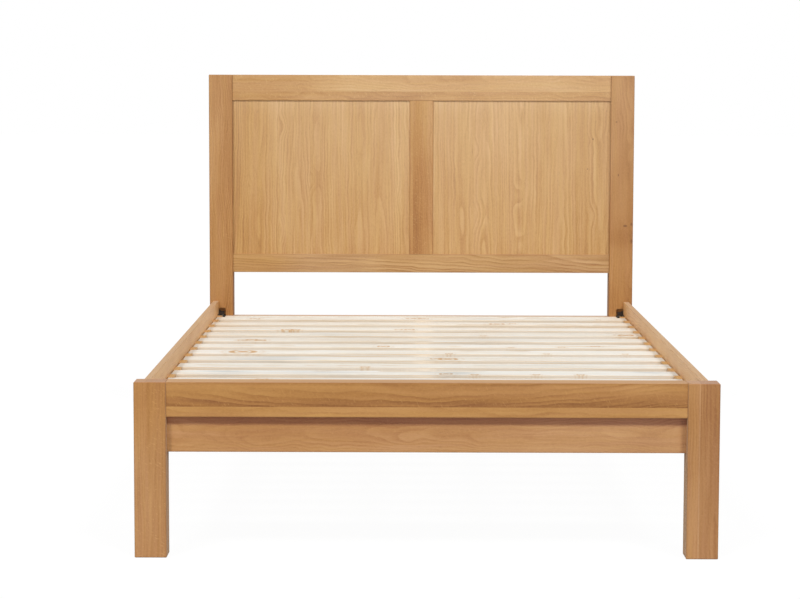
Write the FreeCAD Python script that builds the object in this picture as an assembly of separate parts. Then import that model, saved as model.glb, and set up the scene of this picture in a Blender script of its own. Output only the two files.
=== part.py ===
# Panel bed in solid oak: a framed headboard with two flat panels, a low footboard, two side rails
# and a deck of loose pine slats. Everything is in millimetres. +X is to the right seen from the
# foot, +Y points to the head and +Z is up. The origin is on the floor under the middle of the bed.
import FreeCAD, Part
import math
import os

os.makedirs("parts", exist_ok=True)

# ---------------------------------------------------------------- driving dimensions

# Whole bed, over the posts.
BED_WIDTH = 1450.0
BED_LENGTH = 2040.0
HEADBOARD_HEIGHT = 1205.0
FOOTBOARD_HEIGHT = 440.0

# Posts and legs share one section. Their edges and the boards' edges are eased.
POST_WIDTH = 80.0
POST_DEPTH = 60.0
POST_ARRIS = 2.5
BOARD_ARRIS = 1.5

# Headboard frame.
HEAD_TOP_RAIL_HEIGHT = 87.0
HEAD_BOTTOM_RAIL_HEIGHT = 63.0
HEAD_BOTTOM_RAIL_FLOOR_GAP = 530.0
HEAD_RAIL_THICKNESS = 30.0
HEAD_RAIL_SETBACK = 5.0
MUNTIN_WIDTH = 80.0

# Headboard panels and the grooves that hold them.
PANEL_THICKNESS = 10.0
PANEL_RECESS = 4.0
PANEL_ENTRY = 10.0
PANEL_EXPANSION_GAP = 2.0
PANEL_PLAY = 0.1

# Low cross rail between the head posts.
HEAD_CROSS_RAIL_HEIGHT = 100.0
HEAD_CROSS_RAIL_THICKNESS = 30.0

# Footboard rails.
FOOT_TOP_RAIL_HEIGHT = 87.0
FOOT_TOP_RAIL_SETBACK = 4.0
FOOT_LOWER_RAIL_HEIGHT = 90.0
FOOT_LOWER_RAIL_THICKNESS = 26.0
FOOT_LOWER_RAIL_SETBACK = 20.0
FOOT_HOUSING_DEPTH = 8.0

# Mortise and tenon joints.
TENON_LENGTH = 22.0
TENON_SHOULDER = 14.0
TENON_THICKNESS = 12.0
FOOT_TOP_TENON_THICKNESS = 20.0
MORTISE_PLAY = 0.1
MORTISE_END_GAP = 1.0

# Side rails.
SIDE_RAIL_HEIGHT = 165.0
SIDE_RAIL_THICKNESS = 18.0
SIDE_RAIL_INSET = 12.0
SIDE_RAIL_DROP = 9.0

# Slats.
SLAT_COUNT = 13
SLAT_WIDTH = 80.0
SLAT_THICKNESS = 20.0
SLAT_ARRIS = 2.0
SLAT_DROP = 45.0
SLAT_END_GAP = 4.0
SLAT_HEAD_GAP = 90.0
SLAT_FOOT_GAP = 29.0

# Notched slat supports on the side rails.
SUPPORT_THICKNESS = 18.0
SUPPORT_BEARER_HEIGHT = 40.0
SUPPORT_END_GAP = 50.0
NOTCH_PLAY = 1.0

# Battens across both ends, and the centre beam in its hangers.
END_BATTEN_THICKNESS = 27.0
END_BATTEN_HEIGHT = 100.0
END_BATTEN_DROP = 6.0
END_BATTEN_SCREW_DROP = 8.0
END_BATTEN_SCREW_GRIP = 15.0
CENTRE_BEAM_WIDTH = 45.0
CENTRE_BEAM_HEIGHT = 70.0
CENTRE_BEAM_END_GAP = 3.0
HANGER_SHEET = 2.5
HANGER_SEAT = 35.0
HANGER_EAR = 22.0
HANGER_HEIGHT = 60.0
HANGER_PLAY = 0.5

# Corner brackets of bent steel, in pockets routed in the posts.
BRACKET_SHEET = 3.0
BRACKET_HEIGHT = 101.0
BRACKET_ABOVE_SLATS = 9.0
BRACKET_HEAD_WIDTH = 19.0
BRACKET_FOOT_WIDTH = 24.0
BRACKET_STEP_DROP = 12.0
BRACKET_HORN_RISE = 4.0
BRACKET_HORN_WIDTH = 9.0
BRACKET_RAIL_LEG = 45.0
BRACKET_RAIL_LEG_DROP = 8.0
POCKET_WIDTH = 25.0
POCKET_DEPTH = 12.0
POCKET_RADIUS = 7.0
POCKET_PLAY = 1.0

# Bolts, washers and inserts of the corner brackets.
BOLT_RADIUS = 5.0
BOLT_HEAD_ACROSS_FLATS = 17.0
BOLT_HEAD_HEIGHT = 6.4
BOLT_LENGTH = 33.0
BOLT_OFFSET = 14.0
BOLT_TOP_DROP = 23.0
BOLT_SPACING = 60.0
BOLT_PLAY = 0.1
WASHER_RADIUS = 10.0
WASHER_THICKNESS = 2.0
INSERT_RADIUS = 6.5
INSERT_LENGTH = 25.0

# Countersunk wood screws.
SCREW_RADIUS = 2.0
SCREW_HEAD_RADIUS = 4.0
SCREW_HEAD_DEPTH = 2.2
SCREW_POINT = 4.0
SCREW_PLAY = 0.05
BRACKET_SCREW_LENGTH = 17.0
BRACKET_SCREW_EDGE = 18.0
BRACKET_SCREW_TOP_DROP = 15.0
BRACKET_SCREW_SPACING = 32.0
BRACKET_SCREW_COUNT = 3
SUPPORT_SCREW_LENGTH = 30.0
HANGER_SCREW_LENGTH = 18.0
HANGER_SCREW_EDGE = 14.0
END_BATTEN_SCREWS_PER_SIDE = 3

# Dowels that locate the side rails on the posts.
DOWEL_RADIUS = 4.0
DOWEL_LENGTH = 40.0
DOWEL_EDGE = 30.0
DOWEL_PLAY = 0.05
DOWEL_END_GAP = 0.8

# ---------------------------------------------------------------- places that follow from them

# Across the bed. The left side is worked out, and the right side mirrors it.
outer_x = BED_WIDTH / 2
inner_x = outer_x - POST_WIDTH
rail_outer_x = outer_x - SIDE_RAIL_INSET
rail_inner_x = rail_outer_x - SIDE_RAIL_THICKNESS
support_inner_x = rail_inner_x - SUPPORT_THICKNESS
slat_half_length = rail_inner_x - SLAT_END_GAP
end_batten_half = rail_inner_x - POCKET_WIDTH
bolt_x = rail_inner_x - BOLT_OFFSET

# Along the bed. Posts and legs face each other at +face_y and -face_y.
outer_y = BED_LENGTH / 2
face_y = outer_y - POST_DEPTH
head_frame_y = face_y + HEAD_RAIL_SETBACK
panel_y = head_frame_y + PANEL_RECESS
end_batten_y = face_y - END_BATTEN_THICKNESS
pocket_floor_y = face_y + POCKET_DEPTH

# Up from the floor.
head_top_rail_z = HEADBOARD_HEIGHT - HEAD_TOP_RAIL_HEIGHT
head_panel_z = HEAD_BOTTOM_RAIL_FLOOR_GAP + HEAD_BOTTOM_RAIL_HEIGHT
foot_top_rail_z = FOOTBOARD_HEIGHT - FOOT_TOP_RAIL_HEIGHT
foot_lower_rail_z = foot_top_rail_z - FOOT_LOWER_RAIL_HEIGHT
side_rail_top = FOOTBOARD_HEIGHT - SIDE_RAIL_DROP
side_rail_bottom = side_rail_top - SIDE_RAIL_HEIGHT
slat_top = side_rail_top - SLAT_DROP
slat_bottom = slat_top - SLAT_THICKNESS
support_bottom = slat_bottom - SUPPORT_BEARER_HEIGHT
end_batten_top = slat_top - END_BATTEN_DROP
end_batten_bottom = end_batten_top - END_BATTEN_HEIGHT
end_batten_screw_z = end_batten_top - END_BATTEN_SCREW_DROP
beam_bottom = slat_bottom - CENTRE_BEAM_HEIGHT
bracket_top = slat_top + BRACKET_ABOVE_SLATS
bracket_bottom = bracket_top - BRACKET_HEIGHT
horn_top = bracket_top + BRACKET_HORN_RISE
rail_leg_top = bracket_top - BRACKET_RAIL_LEG_DROP

# The panel groove, the slats' pitch and the heights of the fixings.
groove_depth = PANEL_ENTRY + PANEL_EXPANSION_GAP
slat_run = 2 * face_y - SLAT_HEAD_GAP - SLAT_FOOT_GAP - SLAT_WIDTH
slat_pitch = slat_run / (SLAT_COUNT - 1)
bolt_heights = [bracket_top - BOLT_TOP_DROP - i * BOLT_SPACING for i in range(2)]
dowel_heights = [side_rail_top - DOWEL_EDGE, side_rail_bottom + DOWEL_EDGE]

# Members between the posts: front, back, underside, top and tenon thickness.
HEAD_TOP_RAIL = (
    head_frame_y,
    head_frame_y + HEAD_RAIL_THICKNESS,
    head_top_rail_z,
    HEADBOARD_HEIGHT,
    TENON_THICKNESS,
)
HEAD_BOTTOM_RAIL = (
    head_frame_y,
    head_frame_y + HEAD_RAIL_THICKNESS,
    HEAD_BOTTOM_RAIL_FLOOR_GAP,
    head_panel_z,
    TENON_THICKNESS,
)
HEAD_CROSS_RAIL = (
    face_y,
    face_y + HEAD_CROSS_RAIL_THICKNESS,
    end_batten_top - HEAD_CROSS_RAIL_HEIGHT,
    end_batten_top,
    TENON_THICKNESS,
)
FOOT_TOP_RAIL = (
    -outer_y + FOOT_TOP_RAIL_SETBACK,
    -face_y,
    foot_top_rail_z,
    FOOTBOARD_HEIGHT,
    FOOT_TOP_TENON_THICKNESS,
)
FOOT_LOWER_RAIL = (
    -outer_y + FOOT_LOWER_RAIL_SETBACK,
    -outer_y + FOOT_LOWER_RAIL_SETBACK + FOOT_LOWER_RAIL_THICKNESS,
    foot_lower_rail_z,
    foot_top_rail_z,
    TENON_THICKNESS,
)

# ---------------------------------------------------------------- basic shapes


def block(x_low, x_high, y_low, y_high, z_low, z_high):
    """A plain block between two corners."""
    corner = FreeCAD.Vector(x_low, y_low, z_low)
    return Part.makeBox(x_high - x_low, y_high - y_low, z_high - z_low, corner)


def rod(start, direction, radius, length):
    """A round bar from a start point along a direction."""
    return Part.makeCylinder(radius, length, FreeCAD.Vector(*start), FreeCAD.Vector(*direction))


def edges_along(shape, axis):
    """The straight edges of a block that run along one axis: 0 for X, 1 for Y, 2 for Z."""
    chosen = []
    for edge in shape.Edges:
        span = edge.valueAt(edge.LastParameter) - edge.valueAt(edge.FirstParameter)
        if abs(abs(span[axis]) - edge.Length) < 1e-6:
            chosen.append(edge)
    return chosen


def eased_board(x_low, x_high, y_low, y_high, z_low, z_high, axis, radius):
    """A board whose four long edges, along the given axis, are rounded over."""
    board = block(x_low, x_high, y_low, y_high, z_low, z_high)
    return board.makeFillet(radius, edges_along(board, axis))


def to_right(shape):
    """The mirror image of a left-hand piece."""
    return shape.mirror(FreeCAD.Vector(0, 0, 0), FreeCAD.Vector(1, 0, 0))


def to_foot(shape):
    """The mirror image, at the foot, of a piece at the head."""
    return shape.mirror(FreeCAD.Vector(0, 0, 0), FreeCAD.Vector(0, 1, 0))


def on_both_sides(shapes):
    """Left-hand pieces with their right-hand mirror images."""
    return shapes + [to_right(shape) for shape in shapes]


def at_both_ends(shapes):
    """Pieces of the head end with their mirror images at the foot."""
    return shapes + [to_foot(shape) for shape in shapes]


def drilled(shape, cutters):
    """A piece with a list of holes, grooves or pockets cut out of it."""
    return shape.cut(Part.makeCompound(cutters))


# ---------------------------------------------------------------- fastenings


def wood_screw(head_centre, direction, length, play=0.0):
    """A countersunk screw, flush at its head's centre. With play it is the hole for one."""
    centre = FreeCAD.Vector(*head_centre)
    axis = FreeCAD.Vector(*direction)
    head = Part.makeCone(SCREW_HEAD_RADIUS + play, SCREW_RADIUS + play, SCREW_HEAD_DEPTH, centre, axis)
    shank = Part.makeCylinder(SCREW_RADIUS + play, length - SCREW_POINT, centre, axis)
    tip_start = centre + axis * (length - SCREW_POINT)
    tip = Part.makeCone(SCREW_RADIUS + play, 0.0, SCREW_POINT + play, tip_start, axis)
    return head.fuse([shank, tip]).removeSplitter()


def bracket_bolt(z):
    """A hexagon bolt of the left head bracket, with its head against the washer."""
    seat_y = pocket_floor_y - BRACKET_SHEET - WASHER_THICKNESS
    corner_radius = BOLT_HEAD_ACROSS_FLATS / 2 / math.cos(math.pi / 6)
    points = []
    for i in range(7):
        turn = i * math.pi / 3
        x = -bolt_x + corner_radius * math.cos(turn)
        points.append(FreeCAD.Vector(x, seat_y, z + corner_radius * math.sin(turn)))
    outline = Part.Face(Part.makePolygon(points))
    head = outline.extrude(FreeCAD.Vector(0, -BOLT_HEAD_HEIGHT, 0))
    shank = rod((-bolt_x, seat_y, z), (0, 1, 0), BOLT_RADIUS, BOLT_LENGTH)
    return head.fuse(shank)


def bolt_washer(z):
    """The washer between a bolt's head and the left head bracket."""
    start = (-bolt_x, pocket_floor_y - BRACKET_SHEET - WASHER_THICKNESS, z)
    disc = rod(start, (0, 1, 0), WASHER_RADIUS, WASHER_THICKNESS)
    return disc.cut(rod(start, (0, 1, 0), BOLT_RADIUS + BOLT_PLAY, WASHER_THICKNESS))


def threaded_insert(z):
    """The metal insert in the left head post that takes a bolt."""
    start = (-bolt_x, pocket_floor_y, z)
    body = rod(start, (0, 1, 0), INSERT_RADIUS, INSERT_LENGTH)
    return body.cut(rod(start, (0, 1, 0), BOLT_RADIUS + BOLT_PLAY, INSERT_LENGTH))


def insert_hole(z):
    """The stepped hole in the left head post for an insert and the end of its bolt."""
    start = (-bolt_x, pocket_floor_y, z)
    bolt_reach = BOLT_LENGTH - WASHER_THICKNESS - BRACKET_SHEET
    mouth = rod(start, (0, 1, 0), INSERT_RADIUS + BOLT_PLAY, INSERT_LENGTH + BOLT_PLAY)
    tail = rod(start, (0, 1, 0), BOLT_RADIUS + BOLT_PLAY, bolt_reach + MORTISE_END_GAP)
    return mouth.fuse(tail)


def rail_dowel(z, play=0.0, end_gap=0.0):
    """A dowel between the left side rail's end and the head post, or with play its hole."""
    x = -(rail_outer_x + rail_inner_x) / 2
    start = (x, face_y - DOWEL_LENGTH / 2 - end_gap, z)
    return rod(start, (0, 1, 0), DOWEL_RADIUS + play, DOWEL_LENGTH + 2 * end_gap)


def dowel_holes():
    """The holes of the dowels at the left head corner, in the post and the side rail alike."""
    return [rail_dowel(z, DOWEL_PLAY, DOWEL_END_GAP) for z in dowel_heights]


def bracket_screws_left_head(play=0.0):
    """The screws from the left head bracket into the side rail."""
    y = face_y - BRACKET_RAIL_LEG + BRACKET_SCREW_EDGE
    screws = []
    for i in range(BRACKET_SCREW_COUNT):
        z = rail_leg_top - BRACKET_SCREW_TOP_DROP - i * BRACKET_SCREW_SPACING
        head = (-rail_inner_x + BRACKET_SHEET, y, z)
        screws.append(wood_screw(head, (-1, 0, 0), BRACKET_SCREW_LENGTH, play))
    return screws


def support_screws_left(play=0.0):
    """The screws that hold the left slat support to its side rail, under every second upstand."""
    z = support_bottom + SUPPORT_BEARER_HEIGHT / 2
    screws = []
    for i in range(0, SLAT_COUNT - 1, 2):
        y = slat_centre_y(i) - slat_pitch / 2
        screws.append(wood_screw((-support_inner_x, y, z), (-1, 0, 0), SUPPORT_SCREW_LENGTH, play))
    return screws


def end_batten_screws_head(play=0.0):
    """The screws that hold the head end's batten to the cross rail and the posts."""
    length = END_BATTEN_THICKNESS + END_BATTEN_SCREW_GRIP
    post_screw_x = (inner_x + end_batten_half) / 2
    screws = []
    for i in range(END_BATTEN_SCREWS_PER_SIDE):
        x = -post_screw_x * (i + 1) / END_BATTEN_SCREWS_PER_SIDE
        screws.append(wood_screw((x, end_batten_y, end_batten_screw_z), (0, 1, 0), length, play))
    return on_both_sides(screws)


def hanger_screws_head(play=0.0):
    """The screws through the ears of the head hanger into the end batten."""
    x = -(CENTRE_BEAM_WIDTH / 2 + HANGER_PLAY + HANGER_SHEET + HANGER_EAR) / 2
    x -= (CENTRE_BEAM_WIDTH / 2 + HANGER_PLAY) / 2
    screws = []
    for z in (beam_bottom + HANGER_SCREW_EDGE, beam_bottom + HANGER_HEIGHT - HANGER_SCREW_EDGE):
        head = (x, end_batten_y - HANGER_SHEET, z)
        screws.append(wood_screw(head, (0, 1, 0), HANGER_SCREW_LENGTH, play))
    return on_both_sides(screws)


# ---------------------------------------------------------------- posts, rails and panels


def tenon(member, play=0.0, end_gap=0.0):
    """The left tenon of a member between the posts, or with play the mortise that it enters."""
    front, back, low, high, thickness = member
    y_mid = (front + back) / 2
    return block(
        -inner_x - TENON_LENGTH - end_gap,
        -inner_x,
        y_mid - thickness / 2 - play,
        y_mid + thickness / 2 + play,
        low + TENON_SHOULDER - play,
        high - TENON_SHOULDER + play,
    )


def mortise(member):
    return tenon(member, MORTISE_PLAY, MORTISE_END_GAP)


def cross_member(member):
    """A rail between the posts: an eased board with a tenon at each end."""
    front, back, low, high = member[:4]
    board = eased_board(-inner_x, inner_x, front, back, low, high, 0, BOARD_ARRIS)
    return board.fuse(on_both_sides([tenon(member)]))


def panel_groove(x_low, x_high, z_low, z_high):
    """A groove for the headboard panels, a little wider than they are thick."""
    return block(
        x_low,
        x_high,
        panel_y - PANEL_PLAY,
        panel_y + PANEL_THICKNESS + PANEL_PLAY,
        z_low,
        z_high,
    )


def bracket_pocket():
    """The round-cornered pocket routed in the left head post for its bracket."""
    pocket = block(
        -rail_inner_x,
        -rail_inner_x + POCKET_WIDTH,
        face_y,
        pocket_floor_y,
        bracket_bottom - POCKET_RADIUS - POCKET_PLAY,
        horn_top + POCKET_RADIUS + POCKET_PLAY,
    )
    return pocket.makeFillet(POCKET_RADIUS, edges_along(pocket, 1))


def rail_fixings_in_post():
    """What is cut in the left head post for the side rail: pocket, insert holes, dowel holes."""
    return [bracket_pocket()] + [insert_hole(z) for z in bolt_heights] + dowel_holes()


def eased_post(y_low, y_high, height):
    """A left post or leg with all its edges eased."""
    post = block(-outer_x, -inner_x, y_low, y_high, 0, height)
    return post.makeFillet(POST_ARRIS, post.Edges)


def headboard_post():
    """The left head post, with its joints for the rails, the panel and the side rail."""
    post = eased_post(face_y, outer_y, HEADBOARD_HEIGHT)
    groove = panel_groove(
        -inner_x - groove_depth,
        -inner_x,
        head_panel_z - groove_depth,
        head_top_rail_z + groove_depth,
    )
    cutters = [mortise(member) for member in (HEAD_TOP_RAIL, HEAD_BOTTOM_RAIL, HEAD_CROSS_RAIL)]
    cutters += [groove] + rail_fixings_in_post() + end_batten_screws_head(SCREW_PLAY)
    return drilled(post, cutters)


def headboard_top_rail():
    groove = panel_groove(-inner_x, inner_x, head_top_rail_z, head_top_rail_z + groove_depth)
    return drilled(cross_member(HEAD_TOP_RAIL), [groove])


def headboard_bottom_rail():
    groove = panel_groove(-inner_x, inner_x, head_panel_z - groove_depth, head_panel_z)
    return drilled(cross_member(HEAD_BOTTOM_RAIL), [groove])


def headboard_muntin():
    """The upright between the panels, with stub tenons that enter the rails' grooves."""
    half = MUNTIN_WIDTH / 2
    upright = eased_board(
        -half,
        half,
        head_frame_y,
        head_frame_y + HEAD_RAIL_THICKNESS,
        head_panel_z,
        head_top_rail_z,
        2,
        BOARD_ARRIS,
    )
    stub = block(
        -half + groove_depth,
        half - groove_depth,
        panel_y,
        panel_y + PANEL_THICKNESS,
        head_panel_z - PANEL_ENTRY,
        head_top_rail_z + PANEL_ENTRY,
    )
    left_groove = panel_groove(-half, -half + groove_depth, head_panel_z, head_top_rail_z)
    grooved = drilled(upright, on_both_sides([left_groove]))
    return grooved.fuse(stub).removeSplitter()


def headboard_panel():
    """The left panel. It stands on the floor of the bottom groove, free to swell elsewhere."""
    return block(
        -inner_x - PANEL_ENTRY,
        -MUNTIN_WIDTH / 2 + PANEL_ENTRY,
        panel_y,
        panel_y + PANEL_THICKNESS,
        head_panel_z - groove_depth,
        head_top_rail_z + PANEL_ENTRY,
    )


def head_cross_rail():
    return drilled(cross_member(HEAD_CROSS_RAIL), end_batten_screws_head(SCREW_PLAY))


def footboard_leg():
    """The left foot leg. Its side rail fixings mirror those of the head post."""
    leg = eased_post(-outer_y, -face_y, FOOTBOARD_HEIGHT)
    cutters = [mortise(FOOT_TOP_RAIL), mortise(FOOT_LOWER_RAIL)]
    cutters += [to_foot(cut) for cut in rail_fixings_in_post() + end_batten_screws_head(SCREW_PLAY)]
    return drilled(leg, cutters)


def footboard_top_rail():
    """The deep top rail, with a housing in its underside for the lower rail's top edge."""
    front, back, low, high = FOOT_LOWER_RAIL[:4]
    housing = block(-inner_x, inner_x, front, back, high, high + FOOT_HOUSING_DEPTH)
    screw_holes = [to_foot(hole) for hole in end_batten_screws_head(SCREW_PLAY)]
    return drilled(cross_member(FOOT_TOP_RAIL), [housing] + screw_holes)


def footboard_lower_rail():
    """The lower rail, set back from the legs, with its top edge in the top rail's housing."""
    front, back, low, high = FOOT_LOWER_RAIL[:4]
    board = eased_board(
        -inner_x,
        inner_x,
        front,
        back,
        low,
        high + FOOT_HOUSING_DEPTH,
        0,
        BOARD_ARRIS,
    )
    return board.fuse(on_both_sides([tenon(FOOT_LOWER_RAIL)]))


def side_rail():
    """The left side rail, with the holes of its dowels and screws."""
    rail = eased_board(
        -rail_outer_x,
        -rail_inner_x,
        -face_y,
        face_y,
        side_rail_bottom,
        side_rail_top,
        1,
        BOARD_ARRIS,
    )
    end_holes = dowel_holes() + bracket_screws_left_head(SCREW_PLAY)
    return drilled(rail, at_both_ends(end_holes) + support_screws_left(SCREW_PLAY))


# ---------------------------------------------------------------- slats and what carries them


def slat_centre_y(i):
    """The place of a slat along the bed, counted from the head."""
    return face_y - SLAT_HEAD_GAP - SLAT_WIDTH / 2 - i * slat_pitch


def slat(i):
    y = slat_centre_y(i)
    return eased_board(
        -slat_half_length,
        slat_half_length,
        y - SLAT_WIDTH / 2,
        y + SLAT_WIDTH / 2,
        slat_bottom,
        slat_top,
        0,
        SLAT_ARRIS,
    )


def slat_support():
    """The left slat support: a batten notched from above for every slat."""
    half_length = face_y - SUPPORT_END_GAP
    batten = block(
        -rail_inner_x,
        -support_inner_x,
        -half_length,
        half_length,
        support_bottom,
        slat_top,
    )
    cutters = support_screws_left(SCREW_PLAY)
    for i in range(SLAT_COUNT):
        half_notch = SLAT_WIDTH / 2 + NOTCH_PLAY
        y = slat_centre_y(i)
        notch = block(
            -rail_inner_x,
            -support_inner_x,
            y - half_notch,
            y + half_notch,
            slat_bottom,
            slat_top,
        )
        cutters.append(notch)
    return drilled(batten, cutters)


def end_batten_head():
    """The batten across the head end, behind the first slat and a little lower."""
    batten = eased_board(
        -end_batten_half,
        end_batten_half,
        end_batten_y,
        face_y,
        end_batten_bottom,
        end_batten_top,
        0,
        BOARD_ARRIS,
    )
    return drilled(batten, end_batten_screws_head(SCREW_PLAY) + hanger_screws_head(SCREW_PLAY))


def centre_beam():
    """The beam under the middle of the slats, from hanger to hanger."""
    half_length = end_batten_y - CENTRE_BEAM_END_GAP
    return eased_board(
        -CENTRE_BEAM_WIDTH / 2,
        CENTRE_BEAM_WIDTH / 2,
        -half_length,
        half_length,
        beam_bottom,
        slat_bottom,
        1,
        BOARD_ARRIS,
    )


def beam_hanger_head():
    """A folded steel hanger: a seat and two cheeks round the beam, and two ears on the batten."""
    cheek_x = CENTRE_BEAM_WIDTH / 2 + HANGER_PLAY
    outside_x = cheek_x + HANGER_SHEET
    ear_x = outside_x + HANGER_EAR
    lip_y = end_batten_y - HANGER_SEAT
    ear_y = end_batten_y - HANGER_SHEET
    top = beam_bottom + HANGER_HEIGHT
    seat = block(-outside_x, outside_x, lip_y, end_batten_y, beam_bottom - HANGER_SHEET, beam_bottom)
    cheek = block(-outside_x, -cheek_x, lip_y, end_batten_y, beam_bottom, top)
    ear = block(-ear_x, -outside_x, ear_y, end_batten_y, beam_bottom, top)
    folded = seat.fuse(on_both_sides([cheek, ear])).removeSplitter()
    return drilled(folded, hanger_screws_head(SCREW_PLAY))


def corner_bracket():
    """The left head bracket: a stepped plate in the post's pocket and a leg along the rail."""
    step_z = bracket_top - BRACKET_STEP_DROP
    plate_y = pocket_floor_y - BRACKET_SHEET
    outline = [
        (0, bracket_bottom),
        (BRACKET_FOOT_WIDTH, bracket_bottom),
        (BRACKET_FOOT_WIDTH, step_z),
        (BRACKET_HEAD_WIDTH, step_z),
        (BRACKET_HEAD_WIDTH, bracket_top),
        (BRACKET_HORN_WIDTH, bracket_top),
        (BRACKET_SHEET, horn_top),
        (0, horn_top),
        (0, bracket_bottom),
    ]
    points = [FreeCAD.Vector(-rail_inner_x + x, plate_y, z) for x, z in outline]
    plate = Part.Face(Part.makePolygon(points)).extrude(FreeCAD.Vector(0, BRACKET_SHEET, 0))
    leg = block(
        -rail_inner_x,
        -rail_inner_x + BRACKET_SHEET,
        face_y - BRACKET_RAIL_LEG,
        pocket_floor_y,
        bracket_bottom,
        rail_leg_top,
    )
    bolt_holes = []
    for z in bolt_heights:
        bolt_holes.append(rod((-bolt_x, plate_y, z), (0, 1, 0), BOLT_RADIUS + BOLT_PLAY, BRACKET_SHEET))
    return drilled(plate.fuse(leg).removeSplitter(), bolt_holes + bracket_screws_left_head(SCREW_PLAY))


# ---------------------------------------------------------------- the assembly


def save(name, solids):
    """Write one sub-part: a single piece, or a group of like pieces that share a name."""
    shape = solids[0] if len(solids) == 1 else Part.makeCompound(solids)
    shape.exportStep("parts/" + name + ".step")


def save_pair(name, left):
    save(name + "_left", [left])
    save(name + "_right", [to_right(left)])


# Headboard
save_pair("headboard_post", headboard_post())
save("headboard_top_rail", [headboard_top_rail()])
save("headboard_bottom_rail", [headboard_bottom_rail()])
save("headboard_muntin", [headboard_muntin()])
save_pair("headboard_panel", headboard_panel())
save("head_cross_rail", [head_cross_rail()])

# Footboard
save_pair("footboard_leg", footboard_leg())
save("footboard_top_rail", [footboard_top_rail()])
save("footboard_lower_rail", [footboard_lower_rail()])

# Side rails and the slat deck
save_pair("side_rail", side_rail())
save_pair("slat_support", slat_support())
save("end_batten_head", [end_batten_head()])
save("end_batten_foot", [to_foot(end_batten_head())])
save("centre_beam", [centre_beam()])
save("beam_hanger_head", [beam_hanger_head()])
save("beam_hanger_foot", [to_foot(beam_hanger_head())])
for slat_index in range(SLAT_COUNT):
    save("slat_%02d" % (slat_index + 1), [slat(slat_index)])

# Corner fittings
save_pair("bracket_head", corner_bracket())
save_pair("bracket_foot", to_foot(corner_bracket()))
save("bracket_bolts", at_both_ends(on_both_sides([bracket_bolt(z) for z in bolt_heights])))
save("bolt_washers", at_both_ends(on_both_sides([bolt_washer(z) for z in bolt_heights])))
save("threaded_inserts", at_both_ends(on_both_sides([threaded_insert(z) for z in bolt_heights])))
save("rail_dowels", at_both_ends(on_both_sides([rail_dowel(z) for z in dowel_heights])))

# Screws
save("bracket_screws", at_both_ends(on_both_sides(bracket_screws_left_head())))
save("slat_support_screws", on_both_sides(support_screws_left()))
save("end_batten_screws", at_both_ends(end_batten_screws_head()))
save("hanger_screws", at_both_ends(hanger_screws_head()))
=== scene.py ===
import math

import bpy
from mathutils import Matrix, Vector


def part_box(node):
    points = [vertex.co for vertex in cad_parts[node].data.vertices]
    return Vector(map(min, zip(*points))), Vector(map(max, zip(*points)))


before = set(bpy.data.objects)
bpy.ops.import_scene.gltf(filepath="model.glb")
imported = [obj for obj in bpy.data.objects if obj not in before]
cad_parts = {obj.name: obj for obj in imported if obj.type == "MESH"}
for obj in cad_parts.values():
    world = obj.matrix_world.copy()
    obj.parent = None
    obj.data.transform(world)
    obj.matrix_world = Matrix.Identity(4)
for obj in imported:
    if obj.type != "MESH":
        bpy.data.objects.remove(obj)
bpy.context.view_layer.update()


# Headboard posts: two full-height posts of square oak, glued up from sawn staves and
# planed, with eased arrises and a satin lacquer. The top rail, bottom rail and cross
# rail are tenoned into them, and the side rails are bolted on through corner brackets.

class Value:
    """One socket of a material's node tree. Arithmetic on values adds the Math nodes for it."""

    def __init__(self, tree, socket=None):
        self.tree = tree
        self.socket = socket

    def node(self, kind, settings, sockets, output=0):
        """Adds a node: its settings first, then the numbers, colours or values of its sockets."""
        made = self.tree.nodes.new("ShaderNode" + kind)
        for name, setting in settings.items():
            if name == "stops":
                first, *between, last = setting
                stops = made.color_ramp.elements
                stops[0].position, stops[0].color = first
                stops[1].position, stops[1].color = last
                for position, colour in between:
                    stops.new(position).color = colour
            else:
                setattr(made, name, setting)
        for name, given in sockets.items():
            if isinstance(given, Value):
                self.tree.links.new(given.socket, made.inputs[name])
            else:
                made.inputs[name].default_value = given
        return Value(self.tree, made.outputs[output]) if made.outputs else None

    def other(self, output):
        """Another output of the node that this value comes from."""
        return Value(self.tree, self.socket.node.outputs[output])

    def math(self, operation, other=0.0):
        return self.node("Math", {"operation": operation}, {0: self, 1: other})

    def __add__(self, other):
        return self.math("ADD", other)

    def __sub__(self, other):
        return self.math("SUBTRACT", other)

    def __mul__(self, other):
        return self.math("MULTIPLY", other)

    def __truediv__(self, other):
        return self.math("DIVIDE", other)

    def __pow__(self, other):
        return self.math("POWER", other)

    def __abs__(self):
        return self.math("ABSOLUTE")

    def __rsub__(self, other):
        return self * -1 + other

    __radd__ = __add__
    __rmul__ = __mul__

    def step(self, start, end):
        """0 before start and 1 past end, with a smooth change between them, whichever is larger."""
        return self.node("MapRange", {"interpolation_type": "SMOOTHSTEP"},
                         {"Value": self, "From Min": start, "From Max": end})

    def noise(self, scale, shift=0.0, detail=2.0, output="Fac"):
        """Noise of a vector, with scale features to the metre along each axis."""
        if not isinstance(shift, Value):
            shift = (shift,) * 3
        spot = self.node("VectorMath", {"operation": "MULTIPLY_ADD"}, {0: self, 1: scale, 2: shift})
        return spot.node("TexNoise", {}, {"Vector": spot, "Scale": 1.0, "Detail": detail}, output)

    def blend(self, other, factor, mode="MIX"):
        """This colour, turned into the other one as far as factor says."""
        return self.node("Mix", {"data_type": "RGBA", "blend_type": mode},
                         {0: factor, 6: self, 7: other}, 2)


def paint(red, green, blue):
    """The linear colour of a swatch that is read off as 0 to 255."""
    parts = [channel / 255 for channel in (red, green, blue)]
    return (*[p / 12.92 if p <= 0.04045 else ((p + 0.055) / 1.055) ** 2.4 for p in parts], 1.0)


LACQUER_ROUGHNESS = 0.46
LACQUER_SHEEN = 0.05
RELIEF_DEPTH = 0.00012
WOOD_IOR = 1.45

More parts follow.
